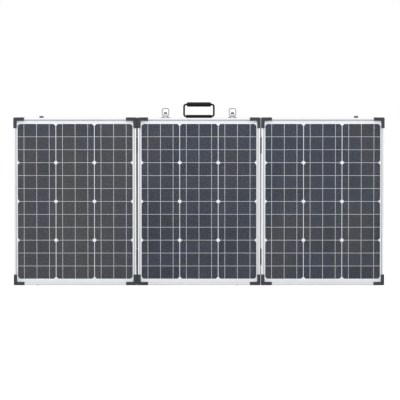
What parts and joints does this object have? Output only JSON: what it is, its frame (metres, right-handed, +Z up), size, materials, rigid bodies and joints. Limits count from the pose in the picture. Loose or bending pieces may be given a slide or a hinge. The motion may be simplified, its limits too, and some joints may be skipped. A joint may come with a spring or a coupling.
{
  "type": "solar suitcase kit",
  "caption": "Folding solar panel kit: framed monocrystalline panels hinged side by side, with corner caps, a carrying handle, toggle latches and rear legs.",
  "frame": {"origin": "under the middle of the unfolded kit, on the plane it stands on", "axes": "+X across the panels to the viewer's right, +Y from the glass to the back, +Z up"},
  "size_m": [1.528, 0.0458, 0.7545],
  "materials": {
    "anodised_aluminium": "satin anodised",
    "leg_aluminium": "satin anodised",
    "front_glass": "clear tempered, low reflection",
    "mono_cells": "dark blue-grey silicon with a fine grid",
    "tinned_ribbon": "tinned",
    "white_backsheet": "smooth white",
    "cap_plastic": "fine moulded grain",
    "foot_rubber": "matte",
    "box_plastic": "fine moulded grain",
    "black_coat": "black powder coat",
    "grip_plastic": "smooth moulded",
    "plated_steel": "bright nickel plating",
    "circuit_board": "solder mask",
    "display_window": "clear window over a grey screen",
    "button_plastic": "smooth moulded"
  },
  "bodies": {
    "centre_panel": {"centre_top_rail": "anodised_aluminium", "centre_bottom_rail": "anodised_aluminium", "centre_left_rail": "anodised_aluminium", "centre_right_rail": "anodised_aluminium", "centre_glass": "front_glass", "centre_cells": "mono_cells", "centre_ribbons": "tinned_ribbon", "centre_backsheet": "white_backsheet", "centre_corner_caps": "cap_plastic", "centre_stud": "foot_rubber", "centre_left_leaves": "plated_steel", "centre_right_leaves": "plated_steel", "left_hinge_pins": "plated_steel", "right_hinge_pins": "plated_steel", "handle_base": "black_coat", "left_latch_base": "plated_steel", "right_latch_base": "plated_steel", "controller_case": "box_plastic", "controller_board": "circuit_board", "controller_display": "display_window"},
    "left_panel": {"left_top_rail": "anodised_aluminium", "left_bottom_rail": "anodised_aluminium", "left_outer_rail": "anodised_aluminium", "left_inner_rail": "anodised_aluminium", "left_glass": "front_glass", "left_cells": "mono_cells", "left_ribbons": "tinned_ribbon", "left_backsheet": "white_backsheet", "left_corner_caps": "cap_plastic", "left_junction_box": "box_plastic", "left_junction_lid": "box_plastic", "left_catch": "plated_steel", "left_hinge_leaves": "plated_steel", "left_leg_brackets": "plated_steel", "left_stud": "foot_rubber"},
    "right_panel": {"right_top_rail": "anodised_aluminium", "right_bottom_rail": "anodised_aluminium", "right_outer_rail": "anodised_aluminium", "right_inner_rail": "anodised_aluminium", "right_glass": "front_glass", "right_cells": "mono_cells", "right_ribbons": "tinned_ribbon", "right_backsheet": "white_backsheet", "right_corner_caps": "cap_plastic", "right_junction_box": "box_plastic", "right_junction_lid": "box_plastic", "right_catch": "plated_steel", "right_hinge_leaves": "plated_steel", "right_leg_brackets": "plated_steel"},
    "handle": {"handle_bail": "black_coat", "handle_grip": "grip_plastic"},
    "left_latch_lever": {"left_latch_lever": "plated_steel"},
    "left_latch_bail": {"left_latch_bail": "plated_steel"},
    "right_latch_lever": {"right_latch_lever": "plated_steel"},
    "right_latch_bail": {"right_latch_bail": "plated_steel"},
    "left_leg": {"left_leg": "leg_aluminium", "left_leg_feet": "foot_rubber"},
    "right_leg": {"right_leg": "leg_aluminium", "right_leg_feet": "foot_rubber"},
    "controller_button": {"controller_button": "button_plastic"}
  },
  "joints": [
    {"name": "left_fold", "type": "hinge", "parent": "centre_panel", "child": "left_panel", "pos_m": [-0.255, -0.01975, 0.346], "axis": [0, 0, 1], "range_deg": [0, 180]},
    {"name": "right_fold", "type": "hinge", "parent": "centre_panel", "child": "right_panel", "pos_m": [0.255, 0.01975, 0.346], "axis": [0, 0, -1], "range_deg": [-180, 0]},
    {"name": "handle_swing", "type": "hinge", "parent": "centre_panel", "child": "handle", "pos_m": [0, 0, 0.6962], "axis": [-1, 0, 0], "range_deg": [-90, 90]},
    {"name": "left_leg_swing", "type": "hinge", "parent": "left_panel", "child": "left_leg", "pos_m": [-0.51, 0.008, 0.5], "axis": [1, 0, 0], "range_deg": [0, 55]},
    {"name": "right_leg_swing", "type": "hinge", "parent": "right_panel", "child": "right_leg", "pos_m": [0.51, 0.008, 0.5], "axis": [1, 0, 0], "range_deg": [0, 55]},
    {"name": "left_lever_throw", "type": "hinge", "parent": "centre_panel", "child": "left_latch_lever", "pos_m": [-0.138, 0.005, 0.6955], "axis": [-1, 0, 0], "range_deg": [-75, 30]},
    {"name": "left_bail_swing", "type": "hinge", "parent": "left_latch_lever", "child": "left_latch_bail", "pos_m": [-0.138, 0.005, 0.7005], "axis": [1, 0, 0], "range_deg": [-90, 90]},
    {"name": "right_lever_throw", "type": "hinge", "parent": "centre_panel", "child": "right_latch_lever", "pos_m": [0.138, -0.005, 0.6955], "axis": [-1, 0, 0], "range_deg": [-30, 75]},
    {"name": "right_bail_swing", "type": "hinge", "parent": "right_latch_lever", "child": "right_latch_bail", "pos_m": [0.138, -0.005, 0.7005], "axis": [1, 0, 0], "range_deg": [-90, 90]},
    {"name": "button_press", "type": "slide", "parent": "centre_panel", "child": "controller_button", "axis": [0, -1, 0], "range_m": [0, 0.0008], "stiffness_N_per_m": 600}
  ]
}
